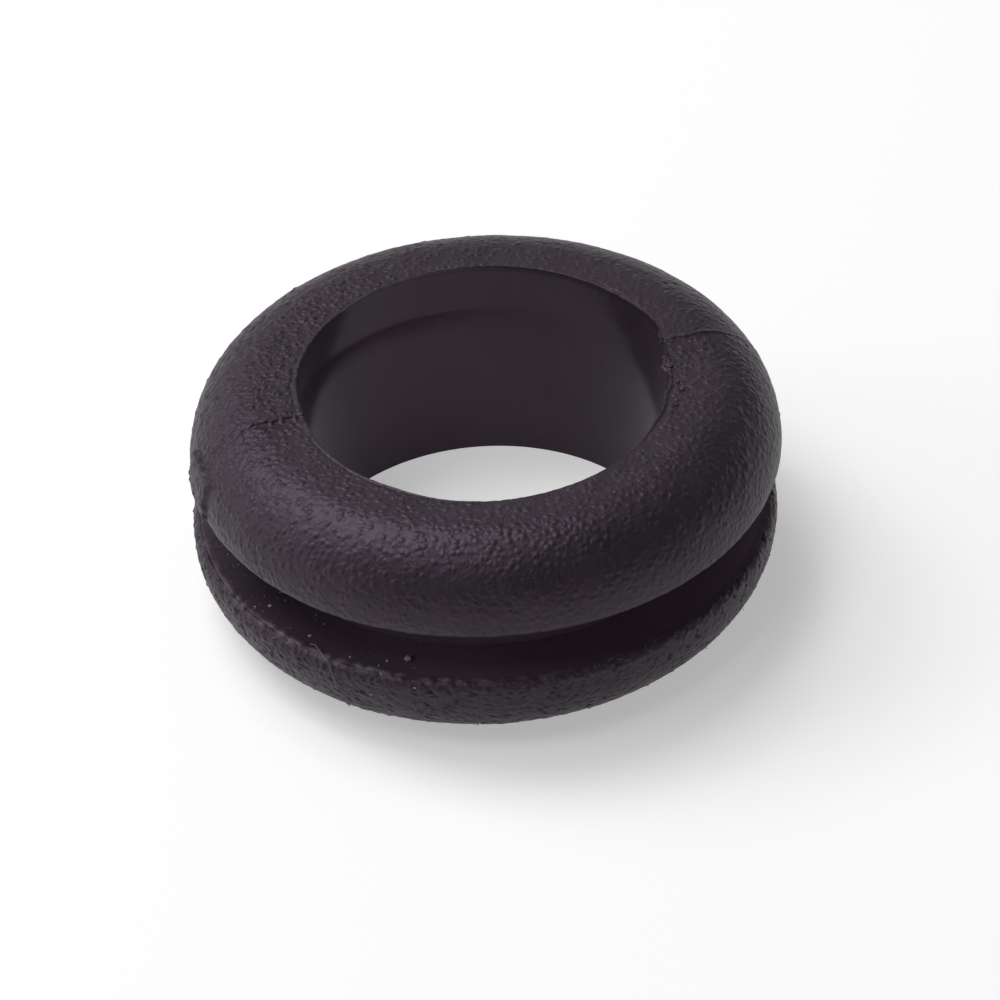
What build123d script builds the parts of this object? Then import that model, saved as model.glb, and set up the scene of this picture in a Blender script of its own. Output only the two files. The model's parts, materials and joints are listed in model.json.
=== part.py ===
from build123d import *
import os

# Round rubber grommet that lines a hole in a sheet panel: one moulded ring with a
# groove for the panel's edge between two like flanges. Sizes are in millimetres.
# Its axis is Z and its lower flange stands on Z = 0.

# Across the ring, from the axis outwards
bore_diameter = 10.3
web_thickness = 1.2
flange_reach = 1.65

# Along the axis
flange_thickness = 2.4
groove_width = 1.55

# Edges: the shoulder rounds off each flange, the lip borders the groove, and the rim
# is the narrow upright band between them
rim_height = 0.1
lip_radius = 0.3

bore_radius = bore_diameter / 2
groove_radius = bore_radius + web_thickness
outer_radius = groove_radius + flange_reach
groove_bottom = flange_thickness
groove_top = groove_bottom + groove_width
overall_height = groove_top + flange_thickness
shoulder_radius = flange_thickness - lip_radius - rim_height

with BuildPart() as grommet:
    # Half of the ring's cross-section, with the flanges' corners rounded
    with BuildSketch(Plane.XZ) as section:
        with BuildLine():
            Polyline(
                (bore_radius, 0),
                (outer_radius, 0),
                (outer_radius, groove_bottom),
                (groove_radius, groove_bottom),
                (groove_radius, groove_top),
                (outer_radius, groove_top),
                (outer_radius, overall_height),
                (bore_radius, overall_height),
                close=True,
            )
        make_face()
        lips = section.vertices().group_by(Axis.X)[-1].sort_by(Axis.Y)[1:3]
        fillet(lips, radius=lip_radius)
        rim_ends = section.vertices().group_by(Axis.X)[-1].sort_by(Axis.Y)
        fillet([rim_ends[0], rim_ends[-1]], radius=shoulder_radius)
    revolve(axis=Axis.Z)

grommet.part.label = "grommet"

os.makedirs("parts", exist_ok=True)
export_step(grommet.part, "parts/grommet.step")
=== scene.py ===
import json
import math

import bpy
import numpy as np
from mathutils import Matrix, Vector, noise


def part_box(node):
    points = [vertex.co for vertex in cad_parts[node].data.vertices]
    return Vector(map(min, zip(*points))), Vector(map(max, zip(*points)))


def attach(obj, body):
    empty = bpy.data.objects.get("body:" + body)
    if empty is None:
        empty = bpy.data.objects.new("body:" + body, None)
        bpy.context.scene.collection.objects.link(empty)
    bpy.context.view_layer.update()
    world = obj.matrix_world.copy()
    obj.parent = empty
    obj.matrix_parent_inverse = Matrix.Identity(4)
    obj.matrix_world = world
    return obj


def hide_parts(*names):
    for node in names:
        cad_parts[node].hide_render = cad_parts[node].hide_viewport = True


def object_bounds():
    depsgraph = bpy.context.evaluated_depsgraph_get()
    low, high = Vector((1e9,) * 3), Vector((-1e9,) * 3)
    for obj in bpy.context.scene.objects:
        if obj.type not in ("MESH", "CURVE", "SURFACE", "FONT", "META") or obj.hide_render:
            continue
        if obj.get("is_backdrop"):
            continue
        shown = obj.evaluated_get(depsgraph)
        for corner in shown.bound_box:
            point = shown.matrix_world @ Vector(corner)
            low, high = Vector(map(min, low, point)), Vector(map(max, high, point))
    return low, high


# A black moulded rubber grommet: its pebbled flanges, smooth bore, mould seams and flash.
# Sizes are in metres and angles in degrees, in the frame of the solid model. An azimuth is an angle
# round the ring's axis: 0 is on the right, -90 at the front and 90 at the rear.
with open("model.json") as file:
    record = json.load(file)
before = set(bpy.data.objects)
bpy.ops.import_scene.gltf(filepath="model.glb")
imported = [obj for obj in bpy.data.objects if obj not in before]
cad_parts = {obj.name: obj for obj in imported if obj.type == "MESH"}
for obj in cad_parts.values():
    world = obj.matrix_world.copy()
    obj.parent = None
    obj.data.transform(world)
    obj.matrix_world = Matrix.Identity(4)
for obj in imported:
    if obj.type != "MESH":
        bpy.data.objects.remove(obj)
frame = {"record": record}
solid_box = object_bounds()

# The ring's section, from the frame
mounts = {mount["name"]: mount for mount in frame["record"]["mounts"]}
metres_per_mm = 0.001
high_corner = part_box("grommet")[1]
outer_radius = high_corner.x
height = high_corner.z
bore_radius = mounts["cable_bore"]["dims"]["r_mm"] * metres_per_mm
groove_radius = mounts["panel_groove"]["dims"]["r_mm"] * metres_per_mm
groove_width = mounts["panel_groove"]["dims"]["length_mm"] * metres_per_mm
flange_thickness = (height - groove_width) / 2
groove_top = height - flange_thickness
lip_radius = 0.0003
rim_height = 0.0001
shoulder_radius = flange_thickness - lip_radius - rim_height
flat_edge = outer_radius - shoulder_radius
lip_edge = outer_radius - lip_radius

# The mesh: columns round the axis, closer beside the two mould seams, and rows along the section
front_columns = 290
rear_columns = 225
seam_columns = (0.000006, 0.000045, 0.00008, 0.00012, 0.00017, 0.00023)
row_spacing = 0.000065
shelf_spacing = 1.5 * row_spacing
hidden_spacing = 0.00016
root_spacing = 2 * hidden_spacing
edge_spacing = lip_radius / 8
low_bore_rows = 6
crease_rows = 8
high_bore_rows = 6
mouth_wall_rows = 4
edge_angle = 65
hidden_angle = -60
sharp_angle = 75
random_seed = 7

# Mould mismatch: the flanges sit a little off the bore's axis, and near the two seams the rear half of
# the top stands higher than the front half, with a bead along it. The step fades on the shoulder.
upper_offset = (0.00005, 0.0)
rear_offset = (0.00002, 0.0)
lower_offset = (-0.00006, 0.00002)
seam_azimuth = 14.2
left_step = 0.000055
right_step = 0.00004
step_spread = 30
step_width = 0.00009
step_fade_offset = 0.0003
step_fade_start = flat_edge + step_fade_offset
step_fade_length = 0.0006
step_least_share = 0.1
seam_bead = 0.000022
seam_bead_offset = 0.00008
seam_bead_width = 0.00005
seam_wander = 0.00005
seam_wander_wave = 0.0004
seam_wander_width = 0.0002

# The bore widens a little below its upper mouth, up to a crease that is deepest at the rear left.
# Its depth, as (azimuth, depth)
crease_drop = 0.00145
crease_height = height - crease_drop
crease_length = 0.0008
crease_power = 1.2
crease_depths = (
    (-180, 0.00004), (-90, 0.00004), (0, 0.00002), (40, 0.00002), (65, 0.00003),
    (80, 0.00005), (95, 0.00008), (110, 0.00009), (130, 0.00007), (150, 0.00004),
)

# Pebbled grain of the flanges, and its strength as (azimuth, level)
grain_wave = 0.00015
grain_height = 0.000018
swell_wave = 0.0009
swell_height = 0.000014
swell_shift = 11.3
swell_least_grain = 0.45
pebble_height = 0.000026
pebble_share = 0.025
pit_depth = 0.00008
pit_share = 0.03
grain_levels = (
    (-180, 1.55), (-168, 1.5), (-158, 1.0), (-100, 0.68), (-60, 0.62), (0, 0.8),
    (12, 0.85), (18, 0.5), (60, 0.55), (110, 0.85), (150, 1.4),
)

# Flash round the bore's upper mouth, as (azimuth, reach into the bore, height), with both sizes in
# hundredths of a millimetre. Where the reach is negative, the edge is worn back instead.
flash_unit = 0.00001
flash_sizes = (
    (-180, 18, 2), (-170, 24, 3), (-163, 22, 2), (-150, 16, 2), (-134, 9, 2), (-118, 6, 2),
    (-103, -5, 1), (-88, -9, 0), (-54, -3, 0), (-38, 2, 1), (-29, 13, 3), (-20, 13, 4),
    (-13, 21, 5), (-9, 14, 5), (-2.4, 12, 5), (-0.9, 32, 6), (2.5, 29, 6), (6.9, 13, 6),
    (14, 13, 5), (18, 8, 3), (21, -9, 1), (26, -11, 1), (32, -8, 1), (42, -3, 1),
    (55, 0, 1), (90, 0, 1), (137, 12, 1), (165, 16, 2),
)
flash_waves = 40
flash_unevenness_share = 0.25
flash_depth = 0.00011
flash_wall_share = 0.5
flash_top_share = 0.5
mouth_width = 0.0004
wear_depth = 0.0012
# Its rows on the top face, as (distance from the bore, share of the reach, share of the height)
flash_rows = (
    (0.0, 1.0, 0.2), (0.00001, 0.94, 1.0), (0.00002, 0.68, 0.9),
    (0.000035, 0.55, -0.2), (0.00006, 0.5, -0.1),
)
# Where it is torn, by the right seam, as (azimuth, level), and how far its edge is ragged there
tear_levels = ((-30, 0), (-20, 0.35), (-6, 0.5), (-2, 1), (16, 1), (19, 0))
tear_reach = 0.00007
tear_height = 0.00004
tear_waves = 70
tear_shift = 2.4

# Painted light: the smooth faces are made paler to stand in for light the lamps don't bring, as (azimuth,
# level): deep in the groove, at the groove's edge, where there is little of it on the left, and in the
# bore, where most of it is at the rear left
groove_painted_light_levels = (
    (-150, 0.15), (-125, 0.45), (-95, 1.0), (-60, 1.0), (-20, 1.0), (0, 0.9), (90, 0.4),
)
edge_painted_light_levels = (
    (-150, 0.03), (-125, 0.08), (-95, 0.3), (-60, 0.55), (-20, 1.0), (0, 0.9), (90, 0.4),
)
bore_painted_light_levels = (
    (-180, 0.25), (-90, 0.4), (0, 0.1), (35, 0.06), (60, 0.3), (90, 0.5), (125, 0.64), (160, 0.36),
)

# Dust and painted glints: a broken pale line along the edge between the groove and the lower flange's lip,
# as (azimuth, level), and its share on each of that edge's rows
edge_glint_levels = (
    (-165, 0.1), (-150, 0.22), (-128, 0.36), (-115, 0.45), (-100, 0.36), (-85, 0.2), (-60, 0.05),
)
edge_glint_shares = (0.6, 1.0, 1.0, 0.7, 0.4)
edge_glint_wave = 0.00025
edge_glint_shift = 5.5
edge_glint_cover = 0.35
edge_glint_contrast = 1.5
edge_glint_rise = 0.000015

# A torn film of flash with ragged edges on the upper flange's wall, beside the left seam
film_front = -160.5
film_front_wander = 1.5
film_rear = -172
film_rear_wander = 2
film_top_drop = 0.00105
film_bottom_drop = 0.00215
film_level_wander = 0.00015
film_height = 0.00009
film_unevenness_share = 0.3
film_waves = 60
film_shift = 3.1
film_tears_per_metre = 4000
film_tear_shift = 7.7

# Crumbs of torn rubber by the right seam, as (distance outside the bore's edge, azimuth, size)
crumbs = (
    (-0.00015, 6.2, 0.00007), (-0.00006, 5.0, 0.00007), (-0.00007, 3.6, 0.00009),
    (-0.00013, 2.6, 0.00009), (-0.00009, 1.6, 0.00010), (-0.00016, -0.2, 0.00008),
    (-0.00008, -0.6, 0.00008), (-0.00005, 2.4, 0.00008), (0.00027, -9.8, 0.00009),
    (0.00018, -15.1, 0.00006), (0.00022, -17.4, 0.00006), (0.00020, -20.8, 0.00005),
    (0.00023, -23.6, 0.00005), (-0.00003, -8.0, 0.00007), (0.00014, -6.3, 0.00006),
    (-0.00008, 8.5, 0.00006),
)
crumb_sink_share = 0.1
# The crumbs are made paler: partly a lighter tone of torn rubber, partly light painted on facets that lie
# in shade
crumb_painted_light = 0.2

# Smaller crumbs along the torn edge between those and the right seam
torn_edge_azimuths = (5, 19)
torn_edge_count = 6
torn_edge_distances = (-0.00013, -0.00005)
torn_edge_sizes = (0.00002, 0.000035)

# Specks of dust on the groove's lower face and on the wall below it, as (distance inside the rim,
# azimuth, drop below that face, size)
dust_specks = (
    (0.00070, -144.0, 0.0, 0.00004), (0.00037, -145.7, 0.0, 0.00003), (0.00119, -131.0, 0.0, 0.00003),
    (0.00060, -130.9, 0.0, 0.00004), (0.00023, -135.9, 0.00002, 0.00004), (0.00046, -120.2, 0.0, 0.00003),
    (0.00091, -108.7, -0.00002, 0.00010), (0.00068, -112.7, 0.0, 0.00004), (0.00167, -107.9, 0.0, 0.00003),
    (0.00133, -134.6, 0.0, 0.00003), (0.00043, -113.7, 0.0, 0.00003), (0.00019, -112.5, 0.00003, 0.00004),
    (0.000045, -131.2, 0.00082, 0.00004), (0.00004, -105.5, 0.00017, 0.00003),
    (0.00002, -114.3, 0.00066, 0.00003),
)
speck_dust = 1.0

# Finer dust, in bands of (first azimuth, last azimuth, count): on that face, on the lip and on the wall
shelf_dust_bands = ((-166, -138, 45), (-138, -100, 18), (-25, 5, 20))
lip_dust_bands = ((-118, -85, 20), (-85, -30, 25))
lip_dust_angles = (55, 90)
wall_dust_bands = ((-140, -30, 22),)
wall_dust_angles = (-45, 0)
fine_dust_sizes = (0.000010, 0.000026)
fine_dust = 0.5

# The shape of a crumb or speck: how it departs from a ball, and its mesh as (rings, sides)
lump_width_shares = (0.7, 1.4)
lump_height_shares = (0.5, 0.9)
lump_rough_shares = (0.88, 1.12)
lump_unevenness_share = 0.65
lump_waves = 1.9
lump_shifts = (0, 50)
lump_mesh = (7, 10)
fine_lump_mesh = (4, 6)

# A fibre that hangs over the lower flange, as (distance inside the rim, azimuth, drop below the
# groove's lower face) along it
fibre_path = (
    (0.00032, -129.0, -0.00004), (0.00036, -128.0, -0.00006), (0.00021, -125.8, -0.00006),
    (0.00003, -123.1, 0.00002), (-0.00008, -121.8, 0.00036), (-0.00005, -121.3, 0.00081),
    (0.00006, -120.7, 0.00120), (0.00022, -120.0, 0.00150),
)
fibre_radius = 0.000018
fibre_points = 45
fibre_sides = 6
fibre_dust = 0.35

# How much of each kind of detail the zones of the section take. In bumps and mismatch, a zone that
# isn't named takes 1, and in the others it takes none.
grain_by_zone = {
    "mouth": 0.6, "top": 1, "shoulder": 1, "rim": 1, "lip": 1, "groove": 0.1, "shelf": 0.15,
    "edge": 0.25, "lower_lip": 1, "lower_rim": 1.4, "lower_shoulder": 1.4, "bottom": 1,
}
pits_by_zone = {"top": 0.3, "shoulder": 0.4, "lower_lip": 1, "lower_rim": 1, "lower_shoulder": 1}
bumps_by_zone = {"lower_lip": 1.5, "lower_rim": 1.8, "lower_shoulder": 1.8}
mismatch_by_zone = {
    "bore": 0, "mouth_wall": 0, "mouth": 0.6, "groove": 0.6, "root": 0, "shelf": 0.8, "bottom": 0.5,
}
# Painted light: how much each zone is made paler
groove_painted_light_by_zone = {"groove": 1, "root": 0.6}
edge_painted_light_by_zone = {"edge": 0.6, "lower_lip": 0.3}
bore_painted_light_by_zone = {"bore": 1, "mouth_wall": 0.3}
satin_by_zone = {"bore": 1, "mouth_wall": 0.6}

# The rubber: mottled from dark to light, with painted light, dust and painted glints, and shinier where it
# is smooth
dark_rubber = (0.024, 0.0165, 0.025, 1)
light_rubber = (0.034, 0.024, 0.035, 1)
# Painted light: the pale colour mixed in to stand for light on shaded smooth faces and on crumbs
painted_light_colour = (0.190, 0.138, 0.192, 1)
# Pale dust, also painted as glints along the groove's edge
dust_and_glint_colour = (0.42, 0.38, 0.41, 1)
shine_tint = (1.0, 0.84, 1.0, 1)
grained_specular = 0.36
smooth_specular = 0.20
grained_roughness = 0.455
smooth_roughness = 0.17
mottle_scale = 900
dark_limit = 0.35
light_limit = 0.70

# Its finest bumps: noise, creases between small cells, and larger round pebbles
fine_scale = 9000
crease_scale = 6600
crease_share = -0.3
pebble_scale = 5000
pebble_core = 0.05
pebble_edge = 0.62
bump_height = 0.000027

# Camera, fitted to the photograph
camera_distance = 0.110
camera_elevation = 38.48
camera_roll = -2.87
camera_lens_mm = 145.2
camera_sensor_mm = 36
camera_clip_start = 0.01
aim_right = 0.000355
aim_below_middle = 0.001033

# Floor, which turns up all round
floor_radius = 0.40
floor_turn_up = 0.10
floor_ring_shares = (0.05, 0.2, 0.6)
floor_turn_steps = 12
floor_sides = 96
floor_colour = (0.70, 0.70, 0.70, 1)
floor_roughness = 0.9
floor_glow = 0.40

# Light: a dark room with square soft lamps, as (name, azimuth, elevation, width, radiance). They stand
# on the left, from low in front to high behind, with a faint one on the horizon.
world_colour = (0.11, 0.11, 0.11, 1)
lamp_distance = 0.30
lamps = (
    ("left_low_softbox", -180, 27, 0.12, 3.1),
    ("left_rear_softbox", 150, 48, 0.12, 6.2),
    ("high_rear_softbox", 130, 70, 0.12, 6.8),
    ("high_front_softbox", -142, 66, 0.12, 2.8),
    ("horizon_softbox", 90, 14, 0.16, 0.35),
)


def straight(start, end, spacing):
    """Rows from start up to but not including end, each as (radius, height, normal r, normal z)."""
    run = np.subtract(end, start)
    length = float(np.hypot(*run))
    steps = max(1, round(length / spacing))
    normal = (-run[1] / length, run[0] / length)
    return [(*np.add(start, run * step / steps), *normal) for step in range(steps)]


def rounded(centre, radius, first_angle, last_angle, spacing):
    """Rows along an arc that turns clockwise in the section, without its last point."""
    sweep = math.radians(last_angle - first_angle)
    steps = max(2, round(abs(sweep) * radius / spacing))
    rows = []
    for step in range(steps):
        angle = math.radians(first_angle) + sweep * step / steps
        out = (math.cos(angle), math.sin(angle))
        rows.append((centre[0] + radius * out[0], centre[1] + radius * out[1], *out))
    return rows


def bore_zones():
    """The bore's zones of rows, from its lower mouth to its upper one."""
    crease_start = crease_height - crease_length
    bore_end = height - 2 * flash_depth
    wall_start = height - flash_depth
    stretches = (
        ("bore", 0, crease_start, low_bore_rows),
        ("bore", crease_start, crease_height, crease_rows),
        ("bore", crease_height, bore_end, high_bore_rows),
        ("bore", bore_end, wall_start, 1),
        ("mouth_wall", wall_start, height, mouth_wall_rows),
    )
    zones = []
    for name, low, high, count in stretches:
        zones.append((name, straight((bore_radius, low), (bore_radius, high), (high - low) / count)))
    return zones


def section():
    """The ring's section as zones of rows: up the bore, over the top, down the outside, back below."""
    up, out, down = 90, 0, -90
    mouth_edge = bore_radius + flash_rows[-1][0] + row_spacing
    upper_shoulder = (flat_edge, height - shoulder_radius)
    upper_lip = (lip_edge, groove_top + lip_radius)
    lower_lip = (lip_edge, flange_thickness - lip_radius)
    lower_shoulder = (flat_edge, shoulder_radius)
    upper_rim_ends = [(outer_radius, centre[1]) for centre in (upper_shoulder, upper_lip)]
    lower_rim_ends = [(outer_radius, centre[1]) for centre in (lower_lip, lower_shoulder)]
    root_top = (groove_radius, groove_top)
    root_bottom = (groove_radius, flange_thickness)
    zones = bore_zones() + [
        ("mouth", [(bore_radius + distance, height, 0, 1) for distance, _, _ in flash_rows]),
        ("top", straight((mouth_edge, height), (flat_edge, height), row_spacing)),
        ("shoulder", rounded(upper_shoulder, shoulder_radius, up, out, row_spacing)),
        ("rim", straight(*upper_rim_ends, row_spacing)),
        ("lip", rounded(upper_lip, lip_radius, out, down, row_spacing)),
        ("groove", straight((lip_edge, groove_top), root_top, hidden_spacing)),
        ("root", straight(root_top, root_bottom, root_spacing)),
        ("shelf", straight(root_bottom, (lip_edge, flange_thickness), shelf_spacing)),
        ("edge", rounded(lower_lip, lip_radius, up, edge_angle, edge_spacing)),
        ("lower_lip", rounded(lower_lip, lip_radius, edge_angle, out, row_spacing)),
        ("lower_rim", straight(*lower_rim_ends, row_spacing)),
        ("lower_shoulder", rounded(lower_shoulder, shoulder_radius, out, hidden_angle, row_spacing)),
        ("lower_shoulder", rounded(lower_shoulder, shoulder_radius, hidden_angle, down, hidden_spacing)),
        ("bottom", straight((flat_edge, 0), (bore_radius, 0), hidden_spacing)),
    ]
    names = [name for name, rows in zones for _ in rows]
    rows = np.array([row for _, rows in zones for row in rows])
    return names, rows


def column_azimuths():
    """The columns' azimuths in radians: the rear and front mould halves, with closer ones at the seams."""
    close = [distance / outer_radius for distance in seam_columns]
    seam = math.radians(seam_azimuth)
    azimuths = []
    for start, count in ((seam, rear_columns), (seam - math.pi, front_columns)):
        inner = np.linspace(close[-1], math.pi - close[-1], count - 2 * len(close) + 2)[1:-1]
        half = np.concatenate([close, inner, [math.pi - offset for offset in reversed(close)]])
        azimuths.append(start + half)
    return np.concatenate(azimuths)


def noise_at(points, wave, shift=0.0):
    """Smooth noise from about -1 to 1 at each point, with bumps about one wave apart."""
    offset = Vector((shift, shift, shift))
    return np.array([noise.noise(Vector(point) / wave + offset) for point in points])


def noise_round(azimuths, waves, shift=0.0):
    """Smooth noise from about -1 to 1 round the axis, with about so many waves to a radian."""
    return np.array([noise.noise(Vector((angle * waves, shift, 0))) for angle in azimuths])


def table_round(azimuths, table, column=1):
    """A table's column, read at each azimuth in radians; its first column is the azimuth in degrees."""
    columns = np.transpose(table)
    return np.interp(np.degrees(azimuths), columns[0], columns[column], period=360)


def zone_values(names, by_zone, default=0):
    """What each row takes by the name of its zone."""
    return np.array([by_zone.get(name, default) for name in names], float)


def add_grain(points, normals, grain, pitting, dice):
    """Moves the grained parts in and out: close bumps, scattered pebbles and pits, and a slow swell."""
    shape = grain.shape
    chosen = grain > 0
    bumps = np.zeros(shape)
    swell = np.zeros(shape)
    bumps[chosen] = noise_at(points[chosen], grain_wave)
    swell[chosen] = noise_at(points[chosen], swell_wave, swell_shift)
    pebbles = np.where(dice.random(shape) < pebble_share, dice.random(shape), 0)
    pits = np.where(dice.random(shape) < pit_share, dice.random(shape), 0)
    relief = grain * (grain_height * bumps + pebble_height * pebbles) - pitting * pit_depth * pits
    relief += np.where(grain > swell_least_grain, swell_height * swell, 0)
    points += normals * relief[..., None]


def add_edge_dust_and_glints(points, dust_and_glints, names, azimuths):
    """A broken pale line of dust and painted glints along the edge where the lower flange's lip meets the
    groove.
    """
    level = table_round(azimuths, edge_glint_levels)
    for row, share in enumerate(edge_glint_shares, names.index("edge")):
        patches = noise_at(points[row], edge_glint_wave, edge_glint_shift)
        spread = np.clip(edge_glint_cover + edge_glint_contrast * patches, 0, 1)
        points[row, :, 2] += edge_glint_rise * spread
        dust_and_glints[row] = share * level * spread


def add_film(points, normals, names, rows, azimuths):
    """The torn film on the outer wall: a thin raised patch with a sharp front edge and ragged ends."""
    degrees = np.degrees(azimuths) % 360 - 360
    ragged = noise_round(azimuths, film_waves, film_shift)
    lowest = height - film_bottom_drop + film_level_wander * ragged
    highest = height - film_top_drop + film_level_wander * ragged
    raised = film_height * (1 + film_unevenness_share * ragged)
    for index, name in enumerate(names):
        if name not in ("shoulder", "rim", "lip"):
            continue
        level = rows[index, 1]
        torn = noise.noise(Vector((level * film_tears_per_metre, film_tear_shift, 0)))
        inside = (degrees < film_front + film_front_wander * torn)
        inside &= (degrees > film_rear + film_rear_wander * torn)
        inside &= (level > lowest) & (level < highest)
        points[index] += normals[index] * (inside * raised)[:, None]


def add_mould_mismatch(points, names, rows, azimuths):
    """Moves the flanges off the axis, and steps the rear half up over the front one at two wavy seams."""
    radii, heights = rows[:, 0], rows[:, 1]
    seam = math.radians(seam_azimuth)
    turn = azimuths - seam
    rear = np.sin(turn) > 0
    from_seam = np.arcsin(np.abs(np.sin(turn)))
    seam_distance = from_seam * outer_radius
    side = np.where(rear, 1, -1) * np.clip(2 * seam_distance / step_width, 0, 1)
    step = np.where(np.cos(turn) > 0, right_step, left_step)
    step = step * np.exp(-(np.degrees(from_seam) / step_spread) ** 2) / 2
    bead = seam_bead * rear * np.exp(-((seam_distance - seam_bead_offset) / seam_bead_width) ** 2)
    zone_share = zone_values(names, mismatch_by_zone, 1)
    fade = 1 - (1 - step_least_share) * np.clip((radii - step_fade_start) / step_fade_length, 0, 1)
    rise_share = zone_share * np.clip(heights / flange_thickness, 0, 1)
    points[..., 2] += np.outer(rise_share * fade, step * side)
    points[..., 2] += np.outer(rise_share, bead)

    section_points = np.column_stack([radii, heights, np.zeros(len(rows))])
    wander = seam_wander * zone_share * noise_at(section_points, seam_wander_wave)
    sideways = np.outer(wander, np.exp(-seam_distance / seam_wander_width))
    points[..., 0] -= sideways * math.sin(seam)
    points[..., 1] += sideways * math.cos(seam)
    upper = heights > height / 2
    for axis in range(2):
        offset = np.where(upper, upper_offset[axis], lower_offset[axis])
        points[..., axis] += (zone_share * offset)[:, None]
        points[..., axis] += np.outer(zone_share * upper, rear * np.sin(turn)) * rear_offset[axis]


def add_bore_crease(points, names, rows, azimuths):
    """Widens the bore in a shallow curve up to the crease, and narrows it again from there to the mouth."""
    levels = rows[:, 1]
    depth = table_round(azimuths, crease_depths)
    below = np.clip((levels - crease_height + crease_length) / crease_length, 0, 1)
    above = np.clip((levels - crease_height) / (height - crease_height), 0, 1)
    in_bore = np.array([name in ("bore", "mouth_wall") for name in names])
    share = in_bore * (below ** crease_power - above)
    points[..., 0] += np.outer(share, depth * np.cos(azimuths))
    points[..., 1] += np.outer(share, depth * np.sin(azimuths))


def add_flash(points, names, rows, azimuths):
    """Flash that stands up and leans into the bore's upper mouth, and where there is none, a worn edge."""
    uneven = 1 + flash_unevenness_share * noise_round(azimuths, flash_waves)
    ragged = noise_round(azimuths, tear_waves, tear_shift)
    torn = table_round(azimuths, tear_levels)
    reach = flash_unit * table_round(azimuths, flash_sizes, 1) * uneven + torn * tear_reach * ragged
    stand = flash_unit * table_round(azimuths, flash_sizes, 2) * uneven
    stand += torn * tear_height * np.abs(ragged)
    lean, wear = np.maximum(reach, 0), np.minimum(reach, 0)
    first_mouth_row = names.index("mouth")
    for index, name in enumerate(names):
        if name not in ("bore", "mouth_wall", "mouth", "top"):
            continue
        from_mouth = np.hypot(rows[index, 0] - bore_radius, rows[index, 1] - height)
        wear_width = mouth_width if name in ("mouth", "top") else wear_depth
        inward = wear * max(0, 1 - from_mouth / wear_width)
        rise = 0
        if name == "mouth":
            _, lean_share, height_share = flash_rows[index - first_mouth_row]
            inward = inward + lean * lean_share
            rise = stand * height_share
        elif name == "top":
            inward = inward + lean * flash_top_share * max(0, 1 - from_mouth / mouth_width)
        elif name == "mouth_wall":
            share = 1 - from_mouth / flash_depth
            inward = inward + lean * share ** 2
            rise = flash_wall_share * stand * share
        points[index, :, 0] -= inward * np.cos(azimuths)
        points[index, :, 1] -= inward * np.sin(azimuths)
        points[index, :, 2] += rise


def painted_light_levels(names, radii, azimuths):
    """How much painted light each vertex has, from the groove and its edge to the bore."""
    out_share = np.clip((radii - groove_radius) / (lip_edge - groove_radius), 0, 1)
    on_shelf = np.array([name == "shelf" for name in names])
    inner_share = zone_values(names, groove_painted_light_by_zone) + on_shelf * (1 - out_share)
    edge_share = zone_values(names, edge_painted_light_by_zone) + on_shelf * out_share
    painted_light = np.outer(inner_share, table_round(azimuths, groove_painted_light_levels))
    painted_light += np.outer(edge_share, table_round(azimuths, edge_painted_light_levels))
    painted_light += np.outer(zone_values(names, bore_painted_light_by_zone), table_round(azimuths, bore_painted_light_levels))
    return painted_light


def grid_faces(row_count, column_count):
    """Quads of a grid whose last row and column join the first ones."""
    here = np.arange(row_count * column_count).reshape(-1, column_count)
    beside = np.roll(here, -1, axis=1)
    above = np.roll(here, -1, axis=0)
    beyond = np.roll(beside, -1, axis=0)
    return np.stack([here, above, beyond, beside], axis=-1).reshape(-1, 4)


def ring_mesh(dice):
    """The whole ring as one closed grid, with grain, seams and flash moved into its vertices."""
    names, rows = section()
    azimuths = column_azimuths()
    radii, heights, normal_r, normal_z = rows.T
    cosine, sine, one = np.cos(azimuths), np.sin(azimuths), np.ones(len(azimuths))
    points = np.stack([np.outer(radii, cosine), np.outer(radii, sine), np.outer(heights, one)], axis=-1)
    normals = np.stack(
        [np.outer(normal_r, cosine), np.outer(normal_r, sine), np.outer(normal_z, one)], axis=-1)
    grain = np.outer(zone_values(names, grain_by_zone), table_round(azimuths, grain_levels))
    pitting = zone_values(names, pits_by_zone)[:, None]
    # dust, and glints painted along the groove's edge
    dust_and_glints = np.zeros(grain.shape)
    add_grain(points, normals, grain, pitting, dice)
    add_edge_dust_and_glints(points, dust_and_glints, names, azimuths)
    add_film(points, normals, names, rows, azimuths)
    add_mould_mismatch(points, names, rows, azimuths)
    add_bore_crease(points, names, rows, azimuths)
    add_flash(points, names, rows, azimuths)
    points[..., 2] = np.maximum(points[..., 2], 0)

    levels = {
        "grain": grain * zone_values(names, bumps_by_zone, 1)[:, None],
        # painted light on the smooth faces
        "painted_light": painted_light_levels(names, radii, azimuths),
        "satin": np.outer(zone_values(names, satin_by_zone), one),
        # dust, and glints painted along the groove's edge
        "dust_and_glints": dust_and_glints,
    }
    masks = {name: values.ravel().tolist() for name, values in levels.items()}
    return points.reshape(-1, 3).tolist(), grid_faces(*grain.shape).tolist(), masks


def on_ring(radius, azimuth, level):
    """A point from its radius, azimuth in degrees and height."""
    angle = math.radians(azimuth)
    return Vector((radius * math.cos(angle), radius * math.sin(angle), level))


def on_arc(centre, radius, angle, azimuth):
    """A point on a rounded edge, from the arc in the section, an angle on it and the azimuth."""
    tilt = math.radians(angle)
    return on_ring(centre[0] + radius * math.cos(tilt), azimuth, centre[1] + radius * math.sin(tilt))


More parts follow.
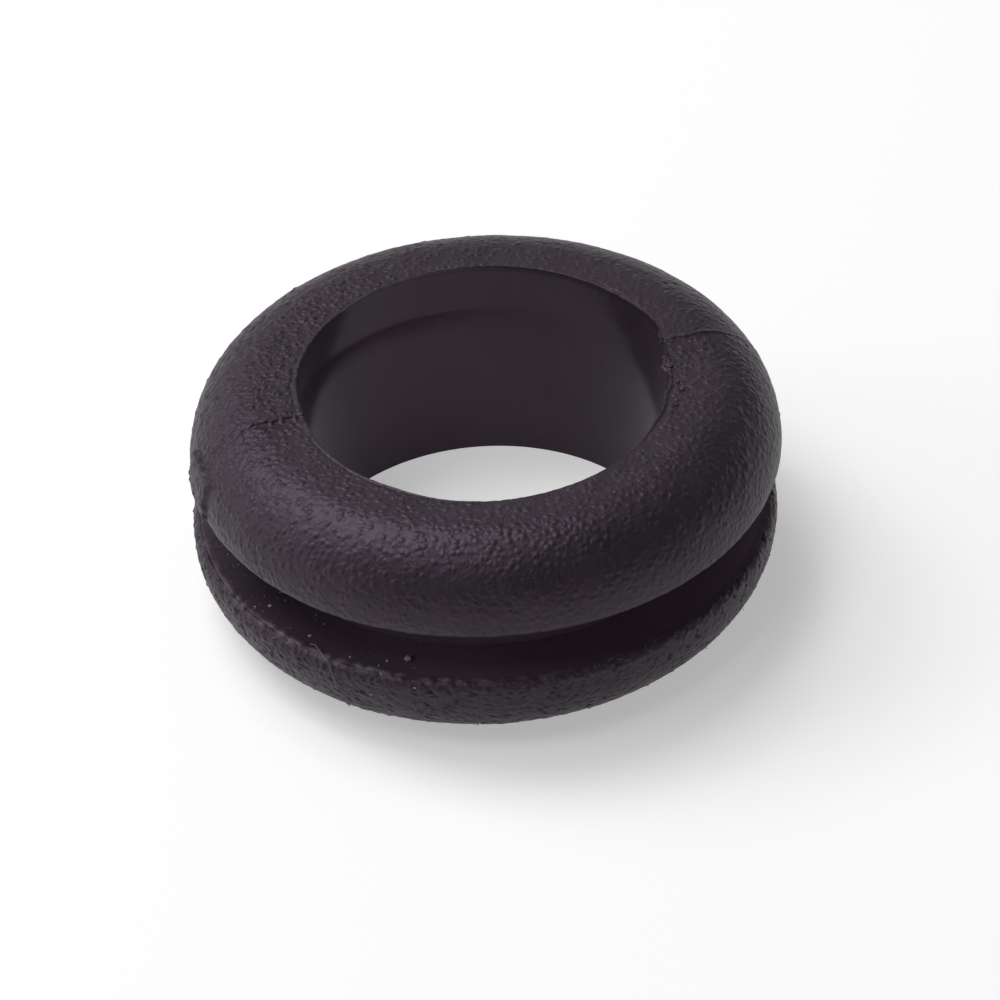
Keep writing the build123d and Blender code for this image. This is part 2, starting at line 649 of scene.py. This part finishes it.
def lump(centre, size, dice, rings, sides):
    """A small uneven closed lump, as points and faces."""
    shift = Vector(dice.uniform(*lump_shifts, 3))
    stretch = Matrix.Diagonal((*dice.uniform(*lump_width_shares, 2), dice.uniform(*lump_height_shares)))
    points = [centre - stretch @ Vector((0, 0, size))]
    for ring in range(1, rings):
        tilt = math.pi * ring / rings
        across = math.sin(tilt)
        for side in range(sides):
            angle = math.tau * side / sides
            away = Vector((across * math.cos(angle), across * math.sin(angle), -math.cos(tilt)))
            reach = size * (1 + lump_unevenness_share * noise.noise(away * lump_waves + shift))
            points.append(centre + stretch @ away * reach * dice.uniform(*lump_rough_shares))
    points.append(centre + stretch @ Vector((0, 0, size)))
    last = len(points) - 1
    faces = []
    for side in range(sides):
        beside = (side + 1) % sides
        faces.append((0, 1 + beside, 1 + side))
        faces.append((last, last - sides + side, last - sides + beside))
        for ring in range(rings - 2):
            first = 1 + ring * sides
            faces.append((first + side, first + beside, first + sides + beside, first + sides + side))
    return points, faces


def crumb_places(dice):
    """The crumbs of torn rubber, each as its place on the top face and its size."""
    for distance, azimuth, size in crumbs:
        yield on_ring(bore_radius + distance, azimuth, height - crumb_sink_share * size), size
    for azimuth in np.linspace(*torn_edge_azimuths, torn_edge_count):
        radius = bore_radius + dice.uniform(*torn_edge_distances)
        size = dice.uniform(*torn_edge_sizes)
        yield on_ring(radius, azimuth, height - crumb_sink_share * size), size


def fine_dust_places(dice):
    """Random places for fine dust: on the groove's lower face, the lip beside it and the wall below."""
    lip_centre = (lip_edge, flange_thickness - lip_radius)
    shoulder_centre = (flat_edge, shoulder_radius)
    places = []
    for first, last, count in shelf_dust_bands:
        for _ in range(count):
            radius = dice.uniform(groove_radius, lip_edge)
            places.append(on_ring(radius, dice.uniform(first, last), flange_thickness))
    for first, last, count in lip_dust_bands:
        for _ in range(count):
            angle = dice.uniform(*lip_dust_angles)
            places.append(on_arc(lip_centre, lip_radius, angle, dice.uniform(first, last)))
    for first, last, count in wall_dust_bands:
        for _ in range(count):
            angle = dice.uniform(*wall_dust_angles)
            places.append(on_arc(shoulder_centre, shoulder_radius, angle, dice.uniform(first, last)))
    return places


def on_lower_flange(inset, azimuth, drop):
    """A point from its distance inside the rim, its azimuth and its drop below the groove's lower face."""
    return on_ring(outer_radius - inset, azimuth, flange_thickness - drop)


def fibre():
    """A thin round fibre along its path, with closed ends, as points and faces."""
    knots = np.array([on_lower_flange(*knot) for knot in fibre_path])
    marks = np.linspace(0, len(knots) - 1, fibre_points)
    along = [np.interp(marks, range(len(knots)), knots[:, axis]) for axis in range(3)]
    line = [Vector(spot) for spot in zip(*along)]
    points, faces = [], []
    for index, spot in enumerate(line):
        ahead = line[min(index + 1, len(line) - 1)] - line[max(index - 1, 0)]
        across = ahead.orthogonal().normalized()
        other = ahead.normalized().cross(across)
        for side in range(fibre_sides):
            angle = math.tau * side / fibre_sides
            points.append(spot + fibre_radius * (math.cos(angle) * across + math.sin(angle) * other))
    for index in range(len(line) - 1):
        first = index * fibre_sides
        second = first + fibre_sides
        for side in range(fibre_sides):
            beside = (side + 1) % fibre_sides
            faces.append((first + side, first + beside, second + beside, second + side))
    faces.append(tuple(reversed(range(fibre_sides))))
    faces.append(tuple(range(len(points) - fibre_sides, len(points))))
    return points, faces


def loose_bits(dice):
    """The crumbs, dust and fibre, each as its level of dust, its level of painted light, and points and
    faces.
    """
    bits = []
    for centre, size in crumb_places(dice):
        # crumbs take painted light
        bits.append((0.0, crumb_painted_light, lump(centre, size, dice, *lump_mesh)))
    for inset, azimuth, drop, size in dust_specks:
        centre = on_lower_flange(inset, azimuth, drop)
        bits.append((speck_dust, 0.0, lump(centre, size, dice, *lump_mesh)))
    for centre in fine_dust_places(dice):
        size = dice.uniform(*fine_dust_sizes)
        bits.append((fine_dust, 0.0, lump(centre, size, dice, *fine_lump_mesh)))
    bits.append((fibre_dust, 0.0, fibre()))
    return bits


def grommet_mesh():
    """The ring and the loose bits on it as one mesh, with each vertex's grain, satin, dust, painted light
    and painted glints.
    """
    dice = np.random.default_rng(random_seed)
    points, faces, masks = ring_mesh(dice)
    for dust_and_glints, painted_light, (more_points, more_faces) in loose_bits(dice):
        first = len(points)
        points += [tuple(point) for point in more_points]
        faces += [[first + corner for corner in face] for face in more_faces]
        for name, value in (("grain", 1.0), ("painted_light", painted_light), ("satin", 0.0), ("dust_and_glints", dust_and_glints)):
            masks[name] += [value] * len(more_points)
    return points, faces, masks


def node(tree, kind, **settings):
    """A new shader node with these settings; a setting named after a socket sets that socket."""
    made = tree.nodes.new(kind)
    for name, value in settings.items():
        if hasattr(made, name):
            setattr(made, name, value)
        else:
            made.inputs[name.replace("_", " ")].default_value = value
    return made


def vertex_level(tree, name):
    """The output that gives one of the mesh's vertex levels."""
    return node(tree, "ShaderNodeAttribute", attribute_name=name).outputs["Fac"]


def new_material(name):
    """A node material with only its output and its main shader."""
    material = bpy.data.materials.new(name)
    material.use_nodes = True
    return material, material.node_tree, material.node_tree.nodes["Principled BSDF"]


def colour_rubber(tree, shader, place):
    """Mottled black, made paler by painted light, by dust and by painted glints."""
    link = tree.links.new
    mottle = node(tree, "ShaderNodeTexNoise", Scale=mottle_scale, Detail=4, Roughness=0.6)
    link(place, mottle.inputs["Vector"])
    tones = node(tree, "ShaderNodeValToRGB")
    dark, light = tones.color_ramp.elements
    dark.position = dark_limit
    dark.color = dark_rubber
    light.position = light_limit
    light.color = light_rubber
    link(mottle.outputs["Fac"], tones.inputs["Fac"])
    # painted light mixed into the colour
    lightened = node(tree, "ShaderNodeMix", data_type="RGBA")
    link(vertex_level(tree, "painted_light"), lightened.inputs["Factor"])
    link(tones.outputs["Color"], lightened.inputs["A"])
    lightened.inputs["B"].default_value = painted_light_colour
    # dust, and glints painted along the groove's edge
    with_dust_and_glints = node(tree, "ShaderNodeMix", data_type="RGBA")
    link(vertex_level(tree, "dust_and_glints"), with_dust_and_glints.inputs["Factor"])
    link(lightened.outputs["Result"], with_dust_and_glints.inputs["A"])
    with_dust_and_glints.inputs["B"].default_value = dust_and_glint_colour
    link(with_dust_and_glints.outputs["Result"], shader.inputs["Base Color"])


def shine_rubber(tree, shader):
    """Dull where the mould was grained, and satin where it was smooth."""
    link = tree.links.new
    satin = vertex_level(tree, "satin")
    polish = node(tree, "ShaderNodeMapRange", To_Min=grained_specular, To_Max=smooth_specular)
    link(satin, polish.inputs["Value"])
    shader.inputs["Specular IOR Level"].default_value = grained_specular
    link(polish.outputs["Result"], shader.inputs["Specular IOR Level"])
    shader.inputs["Specular Tint"].default_value = shine_tint
    gloss = node(tree, "ShaderNodeMapRange", To_Min=grained_roughness, To_Max=smooth_roughness)
    link(satin, gloss.inputs["Value"])
    link(gloss.outputs["Result"], shader.inputs["Roughness"])


def pebble_rubber(tree, shader, place):
    """The finest bumps of the grain, too small for the mesh."""
    link = tree.links.new
    fine = node(tree, "ShaderNodeTexNoise", Scale=fine_scale, Detail=2, Roughness=0.5)
    link(place, fine.inputs["Vector"])
    creases = node(tree, "ShaderNodeTexVoronoi", Scale=crease_scale)
    link(place, creases.inputs["Vector"])
    cells = node(tree, "ShaderNodeTexVoronoi", Scale=pebble_scale)
    link(place, cells.inputs["Vector"])
    pebbles = node(tree, "ShaderNodeMapRange", interpolation_type="SMOOTHSTEP",
                   From_Min=pebble_core, From_Max=pebble_edge, To_Min=1.0, To_Max=0.0)
    link(cells.outputs["Distance"], pebbles.inputs["Value"])
    creased = node(tree, "ShaderNodeMath", operation="MULTIPLY_ADD")
    creased.inputs[1].default_value = crease_share
    link(creases.outputs["Distance"], creased.inputs[0])
    link(fine.outputs["Fac"], creased.inputs[2])
    pebbled = node(tree, "ShaderNodeMath", operation="ADD")
    link(creased.outputs["Value"], pebbled.inputs[0])
    link(pebbles.outputs["Result"], pebbled.inputs[1])
    depth = node(tree, "ShaderNodeMath", operation="MULTIPLY")
    link(pebbled.outputs["Value"], depth.inputs[0])
    link(vertex_level(tree, "grain"), depth.inputs[1])
    bump = node(tree, "ShaderNodeBump", Strength=1.0, Distance=bump_height)
    link(depth.outputs["Value"], bump.inputs["Height"])
    link(bump.outputs["Normal"], shader.inputs["Normal"])


def rubber_material():
    """Black rubber: mottled and pebbled where the mould was grained, satin where it was smooth."""
    material, tree, shader = new_material("black_rubber")
    place = node(tree, "ShaderNodeTexCoord").outputs["Object"]
    colour_rubber(tree, shader, place)
    shine_rubber(tree, shader)
    pebble_rubber(tree, shader, place)
    return material


def add_object(name, content):
    """A new object in the scene, from its mesh, lamp or camera."""
    made = bpy.data.objects.new(name, content)
    bpy.context.scene.collection.objects.link(made)
    return made


def add_grommet():
    """The visible grommet, which stands for the solid one."""
    points, faces, masks = grommet_mesh()
    mesh = bpy.data.meshes.new("grommet_rubber")
    mesh.from_pydata(points, [], faces)
    for name, values in masks.items():
        mesh.attributes.new(name, "FLOAT", "POINT").data.foreach_set("value", values)
    mesh.shade_smooth()
    mesh.set_sharp_from_angle(angle=math.radians(sharp_angle))
    mesh.materials.append(rubber_material())
    piece = add_object("grommet_rubber", mesh)
    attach(piece, "root")
    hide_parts("grommet")


def floor_mesh():
    """A round floor whose edge turns up all round."""
    rings = [(floor_radius * share, 0.0) for share in floor_ring_shares]
    for step in range(floor_turn_steps + 1):
        angle = math.radians(90 * step / floor_turn_steps)
        rise = floor_turn_up * (1 - math.cos(angle))
        rings.append((floor_radius + floor_turn_up * math.sin(angle), rise))
    points = [(0.0, 0.0, 0.0)]
    for radius, level in rings:
        for side in range(floor_sides):
            angle = math.tau * side / floor_sides
            points.append((radius * math.cos(angle), radius * math.sin(angle), level))
    faces = [(0, 1 + side, 1 + (side + 1) % floor_sides) for side in range(floor_sides)]
    for ring in range(len(rings) - 1):
        first = 1 + ring * floor_sides
        second = first + floor_sides
        for side in range(floor_sides):
            beside = (side + 1) % floor_sides
            faces.append((first + side, second + side, second + beside, first + beside))
    mesh = bpy.data.meshes.new("floor")
    mesh.from_pydata(points, [], faces)
    mesh.shade_smooth()
    return mesh


def floor_material():
    """Pale matt paint that looks brighter than it lights the object, and keeps the object's shadow."""
    material, tree, shader = new_material("pale_floor")
    link = tree.links.new
    shader.inputs["Base Color"].default_value = floor_colour
    shader.inputs["Roughness"].default_value = floor_roughness
    shader.inputs["Specular IOR Level"].default_value = 0.0
    shader.inputs["Emission Color"].default_value = (1, 1, 1, 1)
    path = node(tree, "ShaderNodeLightPath")
    seen = node(tree, "ShaderNodeMath", operation="MAXIMUM")
    link(path.outputs["Is Camera Ray"], seen.inputs[0])
    link(path.outputs["Is Glossy Ray"], seen.inputs[1])
    shown = node(tree, "ShaderNodeMath", operation="MAXIMUM")
    link(seen.outputs["Value"], shown.inputs[0])
    link(path.outputs["Is Transmission Ray"], shown.inputs[1])
    glow = node(tree, "ShaderNodeMath", operation="MULTIPLY")
    glow.inputs[1].default_value = floor_glow
    link(shown.outputs["Value"], glow.inputs[0])
    link(glow.outputs["Value"], shader.inputs["Emission Strength"])
    return material


def add_floor():
    """The stage that the grommet stands on."""
    mesh = floor_mesh()
    mesh.materials.append(floor_material())
    floor = add_object("floor", mesh)
    floor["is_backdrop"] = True


def add_softbox(name, azimuth, elevation, width, radiance):
    """A square soft lamp that faces the object, as bright as a white sheet times radiance."""
    lamp = bpy.data.lights.new(name, "AREA")
    lamp.shape = "SQUARE"
    lamp.size = width
    lamp.energy = radiance * math.pi * width * width
    holder = add_object(name, lamp)
    turn, rise = math.radians(azimuth), math.radians(elevation)
    away = Vector((math.cos(turn) * math.cos(rise), math.sin(turn) * math.cos(rise), math.sin(rise)))
    holder.location = away * lamp_distance
    holder.rotation_euler = away.to_track_quat("Z", "Y").to_euler()


def add_lights():
    """The soft lamps and the dark room."""
    for lamp in lamps:
        add_softbox(*lamp)
    world = bpy.data.worlds.new("room")
    world.use_nodes = True
    world.node_tree.nodes["Background"].inputs["Color"].default_value = world_colour
    bpy.context.scene.world = world


def add_camera():
    """The camera at the photograph's place, turned about its own axis as the photograph is."""
    rise, roll = math.radians(camera_elevation), math.radians(camera_roll)
    middle = height / 2
    place = Vector((0, -camera_distance * math.cos(rise), middle + camera_distance * math.sin(rise)))
    aim = Vector((aim_right, 0, middle - aim_below_middle))
    forward = (aim - place).normalized()
    level = forward.cross(Vector((0, 0, 1))).normalized()
    upright = level.cross(forward)
    right = math.cos(roll) * level + math.sin(roll) * upright
    up = math.cos(roll) * upright - math.sin(roll) * level
    camera = bpy.data.cameras.new("camera")
    camera.lens = camera_lens_mm
    camera.sensor_width = camera_sensor_mm
    camera.clip_start = camera_clip_start
    holder = add_object("camera", camera)
    pose = Matrix((right, up, -forward)).transposed().to_4x4()
    pose.translation = place
    holder.matrix_world = pose
    bpy.context.scene.camera = holder


add_grommet()
add_floor()
add_lights()
add_camera()
bpy.context.scene.view_settings.view_transform = "Standard"
boxes = {"solid": solid_box, "visual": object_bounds()}
{name: [list(corner) for corner in box] for name, box in boxes.items()}
